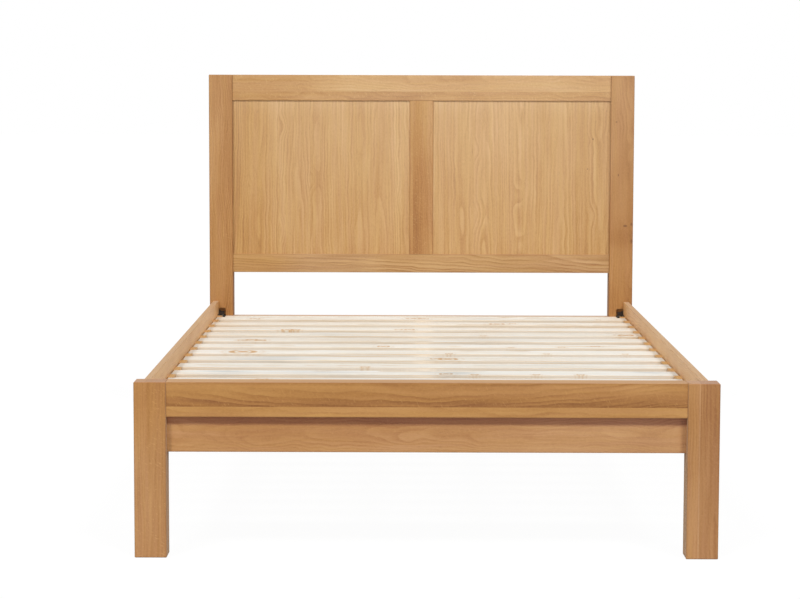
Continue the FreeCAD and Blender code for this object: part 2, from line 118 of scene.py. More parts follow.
# How far in from an arris its tint starts, and where it is full.
ARRIS_REACH = 0.0045
ARRIS_CORE = 0.0005

# How many features each layer has to the metre: along the grain, across it, into the board.
BEND_SCALE = (1.5, 5.0, 5.0)
SWIRL_SCALE = (7.0, 14.0, 14.0)
RIPPLE_SCALE = (22.0, 36.0, 36.0)
YEAR_SCALE = (34.0, 34.0, 34.0)
BOLDNESS_SCALE = (3.0, 26.0, 26.0)
BAND_SCALE = (19.0, 19.0, 19.0)
FIBRE_SCALE = (4.0, 150.0, 150.0)
PORE_SCALE = (75.0, 1400.0, 1400.0)
MOTTLE_SCALE = (150.0, 260.0, 260.0)
WARMTH_SCALE = (3.0, 75.0, 75.0)
FLECK_SCALE = (90.0, 300.0, 300.0)
FLECK_TURN = 1.1

# How far each layer of the figure moves a board's tone, on the scale of its stops.
MIDDLE_TONE = 0.54
BAND_CONTRAST = 0.55
LINE_CONTRAST = 0.26
FIBRE_CONTRAST = 0.55
MOTTLE_CONTRAST = 0.22

# How far the oak turns to its darkest stop on an arris and an end, and to the brown of its
# pores and knots.
ARRIS_TINT = 0.30
END_TINT = 0.35
PORE_TINT = 0.30
KNOT_TINT = 0.75
PORE_BROWN = paint(112, 70, 38)
KNOT_BROWN = paint(104, 62, 34)

# A blush that is multiplied with the oak's own colour, and a white that is added to it: painted
# sheen on the headboard's posts and panels and on the side rails, paler wood on other boards.
BLUSH = (0.97, 0.92, 1.24, 1.0)
PALE = (1.0, 1.0, 0.85, 1.0)


def by_stave(across, joints, values):
    """The value of the stave that a point is in, for staves that meet at the joints."""
    total = values[0]
    for joint, before, after in zip(joints, values, values[1:]):
        total = across.math("GREATER_THAN", joint) * (after - before) + total
    return total


def knot_field(along, across, knots):
    """(swelling of the rings round the knots, mask of their dark hearts) for knots given as
    (along, across, half length, half width, darkness). One of no darkness only swells."""
    swelling = 0.0
    heart = 0.0
    for knot_along, knot_across, half_length, half_width, darkness in knots:
        du = (along - knot_along) / half_length
        dv = (across - knot_across) / half_width
        near = du * du + dv * dv
        swelling = (near * -0.35).math("EXPONENT") * (half_width * 0.9) + swelling
        if darkness:
            heart = near.step(1.0, 0.1) * darkness + heart
    return swelling, heart


def new_material(name):
    material = bpy.data.materials.new(name)
    material.use_nodes = True
    material.node_tree.nodes.clear()
    return material


def dress(node, material):
    """Gives a CAD node its finish, in each of its slots."""
    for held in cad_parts[node].material_slots:
        held.material = material


def sawn(node, grain, material):
    """Where a point is in a sawn board: (along, across, into) it from its middle, and the same as
    a vector. Then, from 0 to 1, how near it is to an arris, and how far its skin is an end or
    a side of the board."""
    low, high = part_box(node)
    middle = (low + high) / 2
    half = (high - low) / 2
    place = Value(material.node_tree).node("TexCoord", {}, {}, "Object")
    skin = place.other("Normal").node("SeparateXYZ", {}, {0: place.other("Normal")})
    local = place.node("VectorMath", {"operation": "SUBTRACT"}, {0: place, 1: middle})
    parts = local.node("SeparateXYZ", {}, {0: local})
    along, across, into = (parts.other(axis) for axis in grain)
    vector = along.node("CombineXYZ", {}, {0: along, 1: across, 2: into})
    # The middle one of the distances to the three pairs of faces is that to the nearest arris.
    a, b, c = (half["XYZ".index(axis)] - abs(part)
               for axis, part in zip(grain, (along, across, into)))
    to_arris = a.math("MINIMUM", b).math("MAXIMUM", a.math("MAXIMUM", b).math("MINIMUM", c))
    arris = to_arris.step(ARRIS_REACH, ARRIS_CORE)
    end, side = (abs(skin.other(axis)).step(0.6, 0.9) for axis in grain[:2])
    return along, across, into, vector, arris, end, side


def drifted(start_value, along, across, drifts):
    """A value that changes smoothly by an amount between two places along or across a board."""
    for way, start, end, amount in drifts:
        start_value = (along if way == "along" else across).step(start, end) * amount + start_value
    return start_value


def oak(node, grain, tones, seed, joints=(), pith=((0.0, 0.05),), lean=(0.02,), shade=(0.0,),
        bow=((0.0, 0.0),), spacing=0.0035, wander=0.008, figure=1.0, crisp=1.0, streak=0.6,
        clouds=0.5, blush=0.3, flecks=0.3, knots=(), leaf=None, drift=(), paler=(), tinges=(),
        sides=None):
    """Lacquered oak on one board, or on staves that meet at the joints, measured across its face.
    grain orders the axes: along, across, into. Each stave has the place of its pith beside and
    behind the face, its lean away from the pith, its bow (rise, centre) and its shade. figure is
    the strength of the growth rings and crisp that of their lines alone. spacing is one year's
    growth and wander how far the grain strays, in metres. leaf is the width of the leaves of a
    veneer. drift changes the shade and paler adds white, each as (way, start, end, amount), and
    tinges are drifts with a colour before them; on some boards these are painted light, shade or
    sheen. sides is the (colour, amount) that the board's two faces across the grain are turned
    to, as painted light or shade for how the lamps fall on those faces, which are also made
    rougher."""
    # The place of each stave in its log, and of the point in the stave.
    material = new_material(node + "_oak")
    along, across, into, vector, arris, end, edge = sawn(node, grain, material)
    shift = by_stave(across, joints, [seed + 3.7 * count for count in range(len(joints) + 1)])
    side = across - by_stave(across, joints, [place[0] for place in pith])
    deep = into - by_stave(across, joints, [place[1] for place in pith])
    deep = deep + along * by_stave(across, joints, lean)
    tint = drifted(by_stave(across, joints, shade), along, across, drift)
    if any(rise for rise, centre in bow):
        swept = along - by_stave(across, joints, [centre for rise, centre in bow])
        side = side - swept * swept * by_stave(across, joints, [rise for rise, centre in bow])

    # Each leaf of a veneer is sliced from a place of its own, with its own lean and tone.
    if leaf:
        strip = (across + leaf * 40.37) / leaf
        number = strip.math("FLOOR") + seed
        chances = number.node("TexWhiteNoise", {"noise_dimensions": "1D"}, {"W": number}, "Color")
        chances = chances.node("SeparateColor", {}, {0: chances})
        shift = chances * 9.0 + seed
        side = (strip.math("FRACT") - 0.5 - (chances.other("Green") - 0.5) * 0.6) * leaf
        deep = into - pith[0][1] + along * ((chances.other("Blue") - 0.5) * (2 * lean[0]))
        tint = tint + (chances - 0.5) * 0.06

    # Long, middling and short waves of the grain.
    bend = vector.noise(BEND_SCALE, shift, 2.0, "Color")
    bend = bend.node("SeparateColor", {}, {0: bend})
    swirl = vector.noise(SWIRL_SCALE, shift, 1.0, "Color")
    swirl = swirl.node("SeparateColor", {}, {0: swirl})
    ripple = vector.noise(RIPPLE_SCALE, shift, 1.0) - 0.5
    sway = (bend + swirl * 0.7 + ripple * 0.6 - 0.85) * (2 * wander)
    woven = along.node("CombineXYZ", {}, {0: along, 1: across + sway, 2: into})

    # Growth rings: a year starts with a dark line of open early wood that fades into late wood.
    swelling, heart = knot_field(along, across, knots)
    dx = side + sway
    dy = deep + (bend.other("Green") + swirl.other("Green") - 1.0) * (2 * wander)
    radius = (dx * dx + dy * dy) ** 0.5 + swelling
    year = (radius / spacing + radius.noise(YEAR_SCALE, seed, 2.0) * 2.4).math("FRACT")
    early_wood = year.step(0.85, 0.05) * year.step(0.0, 0.14)
    boldness = woven.noise(BOLDNESS_SCALE, shift, 2.0).step(0.30, 0.68)
    lines = (early_wood - 0.45) * boldness

    # Bands of years, fibres, the pores of the early wood, and cloudy and warm places.
    bands = radius.noise(BAND_SCALE, seed + 4.0, 3.0) - 0.5
    fibres = woven.noise(FIBRE_SCALE, shift, 4.0) - 0.5
    pores = woven.noise(PORE_SCALE, shift, 2.0).step(0.56, 0.68) * (early_wood * 0.7 + 0.3)
    mottle = vector.noise(MOTTLE_SCALE, shift, 1.0) - 0.5
    patch = (bend.other("Blue") + swirl.other("Blue") * 0.6 - 0.8) * clouds
    warmth = woven.noise(WARMTH_SCALE, shift, 3.0)

    # One tone from all the layers, its colour, and what lies over that colour.
    tone = (MIDDLE_TONE + bands * (BAND_CONTRAST * figure)
            - lines * (LINE_CONTRAST * figure * crisp)
            + fibres * (FIBRE_CONTRAST * streak) + mottle * MOTTLE_CONTRAST + patch + tint)
    colour = tone.node("ValToRGB", {"stops": tones}, {0: tone})
    colour = colour.blend(BLUSH, warmth.step(0.38, 0.66) * blush, "MULTIPLY")
    rays = vector.node("VectorRotate", {"rotation_type": "Z_AXIS"},
                       {"Vector": vector, "Angle": FLECK_TURN})
    rays = rays.noise(FLECK_SCALE, shift, 1.0).step(0.60, 0.76)
    colour = colour.blend(tones[-1][1], rays * flecks)
    colour = colour.blend(tones[0][1], arris * ARRIS_TINT)
    colour = colour.blend(PORE_BROWN, pores * PORE_TINT)
    if knots:
        colour = colour.blend(KNOT_BROWN, heart * KNOT_TINT)
    # Added white: painted sheen on some boards, paler wood on others.
    if paler:
        colour = colour.blend(PALE, drifted(0.0, along, across, paler), "ADD")
    for tinge, *change in tinges:
        colour = colour.blend(tinge, drifted(0.0, along, across, (change,)), "MULTIPLY")
    colour = colour.blend(tones[0][1], end * END_TINT)
    # Two faces turned to a colour of painted light or shade, for how the lamps fall on them.
    if sides:
        colour = colour.blend(sides[0], edge * sides[1])

    # The lacquer is thin: fibres, pores and early wood show in its relief and its gloss.
    relief = fibres * 0.25 - pores * 0.8 - lines * 0.22
    bump = relief.node("Bump", {}, {"Strength": 0.5, "Distance": RELIEF_DEPTH, "Height": relief})
    roughness = LACQUER_ROUGHNESS + pores * 0.15 + bands * 0.10
    if sides:
        roughness = edge * 0.4 + roughness
    surface = colour.node("BsdfPrincipled", {}, {
        "Base Color": colour, "Roughness": roughness, "Normal": bump, "IOR": WOOD_IOR,
        "Sheen Weight": LACQUER_SHEEN, "Sheen Roughness": 0.4})
    surface.node("OutputMaterial", {}, {"Surface": surface})
    dress(node, material)


POST_OAK = (
    (0.10, paint(143, 91, 41)), (0.38, paint(171, 119, 64)),
    (0.60, paint(184, 134, 78)), (0.95, paint(200, 154, 97)))
# A dark brown painted on the posts' two sides as painted shade.
POST_SIDE_PAINTED_SHADE = paint(96, 44, 20)

# Both posts darken towards the bottom and turn paler at the top: painted light that falls off down
# the headboard, with painted sheen at the top.
oak("headboard_post_left", "ZXY", POST_OAK, 2.0, joints=(0.010,), shade=(0.04, -0.04),
    pith=((0.05, 0.09), (-0.03, 0.05)), lean=(0.012, 0.02), flecks=0.3, figure=1.2, streak=1.0,
    drift=(("along", 0.10, -0.10, -0.08), ("along", 0.05, -0.12, -0.09)),
    paler=(("along", 0.0, 0.6, 0.02),), sides=(POST_SIDE_PAINTED_SHADE, 0.35))
oak("headboard_post_right", "ZXY", POST_OAK, 5.0, shade=(-0.08,), pith=((0.05, 0.11),),
    lean=(0.015,),
    knots=((0.445, -0.020, 0.005, 0.003, 0.7), (0.264, -0.012, 0.006, 0.003, 0.8),
           (0.090, 0.013, 0.005, 0.009, 0.9), (0.096, 0.034, 0.007, 0.004, 0.9),
           (0.038, 0.035, 0.008, 0.004, 0.8)),
    flecks=0.2, figure=0.7, streak=0.6, clouds=0.8, paler=(("along", -0.1, 0.6, 0.055),),
    drift=(("along", 0.5, -0.25, -0.14), ("along", 0.09, 0.06, -0.10), ("along", 0.04, 0.00, 0.12),
           ("along", -0.10, -0.18, -0.12), ("across", 0.04, -0.04, 0.17)),
    sides=(POST_SIDE_PAINTED_SHADE, 0.35))


# Headboard frame: a deep oak top rail glued from two staves, a narrower bottom rail with a
# strong flat-sawn figure and a middle muntin, tenoned together and grooved for the panels.
# A plain cross rail lower down ties the posts.

TOP_RAIL_OAK = (
    (0.10, paint(166, 115, 64)), (0.38, paint(194, 147, 91)),
    (0.60, paint(206, 163, 107)), (0.95, paint(220, 186, 136)))
BOTTOM_RAIL_OAK = (
    (0.10, paint(141, 93, 54)), (0.38, paint(173, 128, 78)),
    (0.60, paint(190, 148, 96)), (0.95, paint(205, 166, 115)))
MUNTIN_OAK = (
    (0.10, paint(152, 101, 52)), (0.38, paint(182, 131, 78)),
    (0.60, paint(195, 149, 94)), (0.95, paint(212, 170, 116)))
GOLDEN = (0.96, 0.90, 0.70, 1.0)

oak("headboard_top_rail", "XZY", TOP_RAIL_OAK, 11.0, joints=(-0.0125,), shade=(-0.18, 0.02),
    pith=((0.0, 0.12), (0.05, 0.10)), lean=(0.01, 0.015), figure=0.6, streak=0.6, flecks=0.4,
    drift=(("along", -0.25, -0.6, -0.05), ("along", 0.40, 0.64, -0.08)),
    paler=(("along", -0.6, -0.1, 0.06),))
oak("headboard_bottom_rail", "XZY", BOTTOM_RAIL_OAK, 13.0, pith=((0.085, 0.022),), lean=(0.02,),
    bow=((-0.02, -1.2),), spacing=0.0085, wander=0.007, figure=0.8, crisp=2.0, streak=1.1,
    flecks=0.05,
    paler=(("along", -0.52, -0.36, 0.03), ("along", -0.20, -0.05, -0.05),
           ("along", 0.1, 0.25, 0.015)),
    tinges=((GOLDEN, "along", -0.38, -0.55, 0.9),))
# The muntin darkens towards the bottom: painted light that falls off down the headboard.
oak("headboard_muntin", "ZXY", MUNTIN_OAK, 17.0, joints=(-0.028,), shade=(0.09, 0.02),
    pith=((0.1, 0.05), (0.06, 0.08)), lean=(0.01, 0.012), figure=0.35, streak=0.6, flecks=0.35,
    drift=(("along", 0.28, -0.28, -0.29), ("across", -0.02, 0.035, 0.17)))
oak("head_cross_rail", "XZY", POST_OAK, 19.0, pith=((0.02, 0.07),), lean=(0.02,))


# Headboard panels: two boards faced with oak veneer, laid as narrow leaves side by side
# with the grain upright, and held loose in the grooves of the rails, posts and muntin.

VENEER_OAK = (
    (0.10, paint(169, 121, 70)), (0.38, paint(192, 146, 89)),
    (0.60, paint(203, 161, 105)), (0.95, paint(216, 178, 127)))

# Both panels turn paler at the top and darker towards the bottom: painted sheen and painted light
# that falls off down the headboard. The left one has a painted highlight along its edge by the
# muntin.
oak("headboard_panel_left", "ZXY", VENEER_OAK, 23.0, pith=((0.0, 0.03),), lean=(0.05,),
    leaf=0.105, spacing=0.0075, wander=0.006, figure=0.65, crisp=1.7, flecks=0.1, streak=1.1,
    clouds=0.35,
    knots=((0.178, -0.128, 0.018, 0.010, 0), (-0.181, -0.131, 0.024, 0.013, 0),
           (-0.010, -0.028, 0.020, 0.011, 0), (-0.077, 0.273, 0.020, 0.011, 0),
           (-0.045, -0.244, 0.016, 0.009, 0)),
    drift=(("across", -0.10, -0.24, -0.12), ("along", 0.05, -0.28, -0.05)),
    paler=(("along", -0.30, 0.27, 0.055), ("along", 0.2, 0.28, 0.045),
           ("across", 0.2, 0.24, 0.015)),
    tinges=((GOLDEN, "across", -0.12, -0.22, 0.5),))
oak("headboard_panel_right", "ZXY", VENEER_OAK, 29.0, pith=((0.0, 0.03),), lean=(0.05,),
    leaf=0.125, spacing=0.0075, wander=0.006, figure=0.65, crisp=1.7, flecks=0.1, streak=1.1,
    clouds=0.35,
    knots=((-0.059, -0.008, 0.022, 0.012, 0), (-0.230, -0.001, 0.018, 0.010, 0),
           (0.095, -0.151, 0.018, 0.010, 0), (-0.128, -0.151, 0.022, 0.012, 0),
           (-0.126, 0.246, 0.018, 0.010, 0), (0.134, 0.243, 0.004, 0.003, 1.0),
           (0.032, 0.226, 0.003, 0.002, 1.0), (0.128, 0.232, 0.008, 0.005, 0)),
    drift=(("across", 0.08, 0.28, -0.12), ("along", 0.0, -0.28, -0.03)),
    paler=(("along", -0.30, 0.27, 0.06), ("along", 0.2, 0.28, 0.045),
           ("across", 0.09, 0.03, 0.015)))


# Footboard: two square oak legs, a thick top rail glued from two staves that stands just
# proud of the rail below it, and the lower rail housed into its underside. Both rails are
# tenoned into the legs.

LEG_OAK = (
    (0.10, paint(142, 90, 46)), (0.38, paint(169, 118, 66)),
    (0.60, paint(182, 132, 80)), (0.95, paint(198, 150, 96)))
FOOT_RAIL_OAK = (
    (0.10, paint(137, 87, 41)), (0.38, paint(171, 119, 62)),
    (0.60, paint(186, 135, 75)), (0.95, paint(203, 154, 91)))
LOWER_RAIL_OAK = (
    (0.10, paint(148, 95, 52)), (0.38, paint(176, 124, 75)),
    (0.60, paint(187, 137, 85)), (0.95, paint(202, 154, 103)))
# A darker red for the painted shadow under the foot's top rail.
PAINTED_SHADOW_RED = (0.95, 0.80, 0.92, 1.0)
# A grey tinge for painted sheen.
PAINTED_SHEEN_GREY = (0.95, 0.95, 1.12, 1.0)
# A pale pink painted as light on the legs' sides and as sheen on the foot rail's top and bottom.
PAINTED_LIGHT_PALE = paint(206, 181, 154)

# Both legs' sides are turned to a painted light.
oak("footboard_leg_left", "ZXY", LEG_OAK, 31.0, joints=(-0.012,), shade=(0.18, 0.0),
    pith=((0.05, 0.08), (-0.02, 0.05)), lean=(0.01, 0.02), wander=0.004, flecks=0.9, figure=0.6,
    streak=1.0, drift=(("along", 0.05, 0.20, -0.04), ("across", 0.01, 0.03, -0.04)),
    tinges=((GOLDEN, "along", -0.02, 0.18, 0.9),), sides=(PAINTED_LIGHT_PALE, 0.35))
# The right leg's right stave has a grey tinge of painted sheen.
oak("footboard_leg_right", "ZXY", LEG_OAK, 37.0, joints=(-0.0085,), shade=(0.12, -0.16),
    pith=((0.04, 0.07), (0.06, 0.10)), lean=(0.01, 0.012), wander=0.004, flecks=0.2, figure=0.6,
    streak=1.0, drift=(("along", -0.10, 0.06, -0.08), ("along", 0.13, 0.21, 0.10)),
    paler=(("across", -0.0125, -0.0115, 0.04), ("across", -0.0086, -0.0084, -0.04)),
    tinges=((GOLDEN, "along", 0.05, 0.15, 0.3), (PAINTED_SHEEN_GREY, "across", -0.0086, -0.0084, 0.5)),
    sides=(PAINTED_LIGHT_PALE, 0.35))
# Its top and bottom faces are turned to a painted sheen.
oak("footboard_top_rail", "XZY", FOOT_RAIL_OAK, 41.0, joints=(-0.0175,), shade=(0.09, -0.27),
    pith=((0.0, 0.10), (0.05, 0.05)), lean=(0.01, 0.01), bow=((0.0, 0.0), (0.09, -0.15)),
    spacing=0.0085, wander=0.006, figure=1.0, streak=0.5,
    drift=(("across", -0.017, 0.030, 0.38), ("across", 0.0345, 0.0375, -0.10)),
    tinges=((GOLDEN, "along", 0.25, -0.25, 0.3),), sides=(PAINTED_LIGHT_PALE, 0.3))
# Along its top, under the top rail, the lower rail turns darker and redder: a painted shadow band.
# By the right leg it turns darker: a painted shadow of the leg.
oak("footboard_lower_rail", "XZY", LOWER_RAIL_OAK, 45.0, pith=((0.0, 0.06),), lean=(0.02,),
    spacing=0.003, figure=1.0, streak=1.0, clouds=0.7, paler=(("along", 0.0, 0.6, 0.02),),
    drift=(("along", -0.1, 0.5, 0.10), ("across", 0.014, 0.026, -0.10),
           ("across", -0.026, -0.036, 0.06), ("along", -0.52, -0.62, 0.12),
           ("along", 0.622, 0.636, -0.25)),
    tinges=((GOLDEN, "along", 0.1, -0.3, 0.4), (PAINTED_SHADOW_RED, "across", 0.014, 0.026, 1.0)))


# Side rails: two long oak boards on edge, planed and lacquered, a little paler than the
# rest, partly their own tone and partly painted light on their inner faces. Their top and
# bottom faces are turned to a painted light brown, and they turn more golden towards the
# head and paler towards the foot: painted light and sheen for how the lamps fall along them.
# Dowels in their ends set them to the posts and legs, and a steel bracket in each corner is
# screwed to the rail and bolted to the post.

SIDE_RAIL_OAK = (
    (0.10, paint(193, 139, 79)), (0.38, paint(217, 168, 108)),
    (0.60, paint(232, 188, 129)), (0.95, paint(244, 208, 148)))
# A brown painted on the side rails' top and bottom faces as painted light.
SIDE_RAIL_TOP_PAINTED_LIGHT = paint(166, 137, 112)

for node, seed, pith_beside, lean, shade in (("side_rail_left", 47.0, 0.0, 0.02, 0.0),
                                             ("side_rail_right", 53.0, 0.02, -0.02, -0.05)):
    oak(node, "YZX", SIDE_RAIL_OAK, seed, pith=((pith_beside, 0.05),), lean=(lean,), shade=(shade,),
        spacing=0.004, tinges=((GOLDEN, "along", 0.4, 0.95, 0.6),),
        paler=(("along", 0.2, -0.9, 0.03),), sides=(SIDE_RAIL_TOP_PAINTED_LIGHT, 0.6))


# Slat supports, end battens and centre beam: planed pine, hidden inside the frame. The
# notched supports are screwed to the side rails and the battens to the head and foot
# frames. The beam lies under the slats in two hangers on the battens.

GOLDEN_PINE = (
    (0.10, paint(174, 120, 55)), (0.38, paint(209, 157, 79)),
    (0.62, paint(226, 176, 93)), (0.95, paint(241, 196, 114)))
CREAM_PINE = (
    (0.05, paint(200, 171, 132)), (0.35, paint(227, 215, 193)),
    (0.62, paint(241, 240, 233)), (0.95, paint(248, 252, 252)))
BLUE_STAIN = paint(196, 200, 198)
PINE_KNOT = (0.64, 0.36, 0.11, 1.0)
# A tan for sawn edges, partly painted shade on them.
SAWN_TAN_AND_SHADE = paint(230, 200, 164)

PLANED_ROUGHNESS = 0.55
PLANED_SHEEN = 0.25
PLANED_DEPTH = 0.0001
PINE_ARRIS_TINT = 0.25
PINE_END_TINT = 0.3

# Features to the metre of the pine's layers: along the grain, across it, into the board.
PINE_BEND_SCALE = (1.6, 6.0, 6.0)
PINE_YEAR_SCALE = (40.0, 40.0, 40.0)
PINE_BOLDNESS_SCALE = (2.0, 22.0, 22.0)
PINE_BAND_SCALE = (20.0, 20.0, 20.0)
PINE_FIBRE_SCALE = (6.0, 200.0, 200.0)
STAIN_SCALE = (3.0, 45.0, 45.0)
KNOT_WOBBLE_SCALE = (1.5, 1.5, 1.5)


def knot_rings(along, across, knots):
    """(arcs beside the knots that fade with distance, mask of their hearts), each 0 to 1, for
    knots given as (along, across, radius, darkness)."""
    rings = 0.0
    heart = 0.0
    for knot_along, knot_across, radius, darkness in knots:
        du = along - knot_along
        dv = across - knot_across
        square = du * du + dv * dv
        beside = (du * du / square) ** 0.5
        distance = square ** 0.5 / radius
        turns = distance.noise(KNOT_WOBBLE_SCALE, knot_along * 9, 1.0) + distance * 0.9
        line = (turns.math("FRACT") - 0.5) * 2
        rings = (1 - line * line) ** 3 * distance.step(2.6, 0.8) * beside * darkness + rings
        heart = distance.step(0.75, 0.35) * darkness + heart
    return rings, heart


def pine(node, grain, tones, seed, knots=(), stains=(), spacing=0.004, pith=(0.0, 0.03), lean=0.01,
         figure=1.0, sawn_tan_and_shade=0.0, shade=0.0):
    """Planed pine on one piece: pale early wood, thin tan late wood, knots, and grey-blue stains,
    each as (along, half length, strength). sawn_tan_and_shade is how far its two edges turn tan:
    partly the colour of sawn wood and partly painted shade on those faces."""
    material = new_material(node + "_pine")
    along, across, into, vector, arris, end, edge = sawn(node, grain, material)

    # Growth rings: a year of pale wood ends in a thin tan line of late wood.
    bend = vector.noise(PINE_BEND_SCALE, seed, 2.0, "Color")
    bend = bend.node("SeparateColor", {}, {0: bend})
    dx = across - pith[0] + (bend - 0.5) * 0.02
    dy = into - pith[1] + (bend.other("Green") - 0.5) * 0.02 + along * lean
    radius = (dx * dx + dy * dy) ** 0.5
    year = (radius / spacing + radius.noise(PINE_YEAR_SCALE, seed, 2.0) * 2.0).math("FRACT")
    late_wood = year.step(0.45, 0.92) * year.step(1.0, 0.93)
    rings, heart = knot_rings(along + (bend - 0.5) * 0.02, across, knots)
    bands = radius.noise(PINE_BAND_SCALE, seed + 4.0, 2.0) - 0.5
    fibres = vector.noise(PINE_FIBRE_SCALE, seed, 4.0) - 0.5
    boldness = vector.noise(PINE_BOLDNESS_SCALE, seed, 2.0).step(0.3, 0.7)
    tone = (0.62 - late_wood * (0.45 * figure) * (boldness + 0.15) + fibres * 0.40 + bands * 0.3
            + (bend.other("Blue") - 0.5) * 0.3 + shade)
    colour = tone.node("ValToRGB", {"stops": tones}, {0: tone})

    # Stains gather where they are given, and a trace of them is all along a stained board.
    if stains:
        stain = 0.15
        for stain_along, half_length, strength in stains:
            away = (along - stain_along) / half_length
            stain = (away * away * -1).math("EXPONENT") * strength + stain
        streaks = vector.noise(STAIN_SCALE, seed + 8.0, 3.0).step(0.34, 0.62)
        colour = colour.blend(BLUE_STAIN, streaks * stain)
    colour = colour.blend(tones[0][1], arris * PINE_ARRIS_TINT)
    if knots:
        colour = colour.blend(PINE_KNOT, (rings * 1.35 + heart).math("MINIMUM", 1.0), "MULTIPLY")
    # The edges turn tan: partly sawn wood and partly painted shade.
    colour = colour.blend(SAWN_TAN_AND_SHADE, edge * sawn_tan_and_shade)
    colour = colour.blend(tones[0][1], end * PINE_END_TINT)
    relief = fibres * 0.3 + late_wood * 0.4
    bump = relief.node("Bump", {}, {"Strength": 0.4, "Distance": PLANED_DEPTH, "Height": relief})
    roughness = PLANED_ROUGHNESS + fibres * 0.12 - late_wood * 0.08
    surface = colour.node("BsdfPrincipled", {}, {
        "Base Color": colour, "Roughness": roughness, "Normal": bump, "IOR": WOOD_IOR,
        "Sheen Weight": PLANED_SHEEN, "Sheen Roughness": 0.4})
    surface.node("OutputMaterial", {}, {"Surface": surface})
    dress(node, material)


for seed, node in ((61, "slat_support_left"), (62, "slat_support_right")):
    pine(node, "YZX", GOLDEN_PINE, seed)
pine("centre_beam", "YZX", CREAM_PINE, 63, shade=-0.12)
for seed, node in ((66, "end_batten_head"), (67, "end_batten_foot")):
    pine(node, "XZY", CREAM_PINE, seed, shade=-0.12)


# Corner brackets, beam hangers and fixings: the brackets are bent steel, painted black,
# with black bolts that run into brass inserts. Hangers, washers and screws are
# zinc-plated, and the dowels are wood.

GRIT_SCALE = (900.0, 900.0, 900.0)
GRIT_DEPTH = 0.0001
WORN_SCALE = (60.0, 60.0, 60.0)


def metal(nodes, name, colour, worn_colour, roughness, metallic):
    """A bent or turned metal piece: fine grit, and patches rubbed to the worn colour."""
    material = new_material(name)
    place = Value(material.node_tree).node("TexCoord", {}, {}, "Object")
    grit = place.noise(GRIT_SCALE, 1.0, 3.0)
    patch = place.noise(WORN_SCALE, 2.0, 2.0)
    rubbed = (patch + grit * 0.5).step(0.80, 1.05)
    tint = rubbed.node("Mix", {"data_type": "RGBA"},
                       {0: rubbed * 0.6, 6: colour, 7: worn_colour}, 2)
    bump = grit.node("Bump", {}, {"Strength": 0.3, "Distance": GRIT_DEPTH, "Height": grit})
    surface = tint.node("BsdfPrincipled", {}, {
        "Base Color": tint, "Roughness": grit * 0.25 + roughness, "Metallic": metallic,
        "Normal": bump})
    surface.node("OutputMaterial", {}, {"Surface": surface})
    for node in nodes:
        dress(node, material)


metal([f"bracket_{end}_{side}" for end in ("head", "foot") for side in ("left", "right")],
      "black_paint", paint(62, 50, 40), paint(104, 92, 84), 0.35, 0.0)
metal(["bracket_bolts"], "black_bolt_oxide", paint(50, 46, 44), paint(110, 104, 98), 0.3, 0.8)
metal(["beam_hanger_head", "beam_hanger_foot"], "hanger_zinc",
      paint(176, 177, 174), paint(204, 205, 202), 0.35, 1.0)
metal(["bolt_washers"], "washer_zinc", paint(178, 176, 170), paint(205, 204, 200), 0.3, 1.0)
metal(["bracket_screws", "slat_support_screws", "end_batten_screws", "hanger_screws"],
      "screw_zinc", paint(178, 170, 150), paint(205, 200, 190), 0.3, 1.0)
metal(["threaded_inserts"], "insert_brass", paint(190, 160, 90), paint(215, 190, 120), 0.3, 1.0)
pine("rail_dowels", "YZX", GOLDEN_PINE, 71)


# Slats: thirteen boards of planed pine with round knots and blue-grey stains. They lie
# loose in the notches of the slat supports and lift straight out.

SLATS = 13

# By slat, counted from the headboard: knots as (along, across, radius, darkness) and stains
# as (along, half length, strength).
SLAT_KNOTS = {
    1: ((-0.559, -0.01, 0.014, 0.8), (-0.025, 0.005, 0.019, 0.7), (0.008, 0, 0.014, 0.9),
        (0.596, -0.02, 0.007, 1)),
    2: ((0.251, 0, 0.02, 0.9), (0.303, 0.01, 0.009, 0.8)),
    3: ((-0.435, -0.028, 0.015, 1), (-0.406, -0.03, 0.011, 1), (-0.078, -0.02, 0.009, 0.9),
        (-0.042, -0.02, 0.012, 1)),
    4: ((0.645, -0.01, 0.019, 1), (0.194, -0.03, 0.008, 0.8)),
    5: ((-0.555, -0.015, 0.012, 1), (-0.527, -0.005, 0.014, 0.9), (-0.499, -0.015, 0.015, 1)),
    6: ((-0.121, -0.01, 0.014, 1), (0.268, -0.03, 0.008, 0.8), (0.419, -0.02, 0.009, 0.8),
        (0.522, 0, 0.012, 0.8)),
    7: ((-0.535, 0, 0.03, 0.9), (0.075, -0.03, 0.009, 0.8), (0.361, -0.03, 0.008, 0.8),
        (0.594, -0.03, 0.008, 0.8)),
    8: ((0.035, 0, 0.014, 0.8), (0.069, -0.005, 0.022, 1)),
    9: ((-0.164, -0.03, 0.011, 0.7),),
    10: ((0.058, -0.02, 0.014, 1), (0.135, -0.03, 0.008, 1), (0.302, -0.03, 0.008, 1),
         (0.423, -0.03, 0.009, 1)),
    11: ((-0.437, 0.01, 0.014, 1),),
    12: ((0.22, 0.01, 0.016, 1),),
    13: ((-0.3, 0, 0.016, 1), (0.4, -0.02, 0.011, 1))}
SLAT_STAINS = {
    1: ((0.205, 0.06, 0.5), (0.47, 0.08, 0.35)), 4: ((-0.30, 0.10, 0.4),), 5: ((0.10, 0.20, 0.3),),
    8: ((-0.42, 0.13, 1.0),), 9: ((0.30, 0.15, 0.3),),
    10: ((-0.545, 0.06, 0.7), (-0.27, 0.12, 0.5), (0.082, 0.06, 1.0), (0.625, 0.07, 0.9)),
    11: ((0.0, 0.3, 0.6),)}

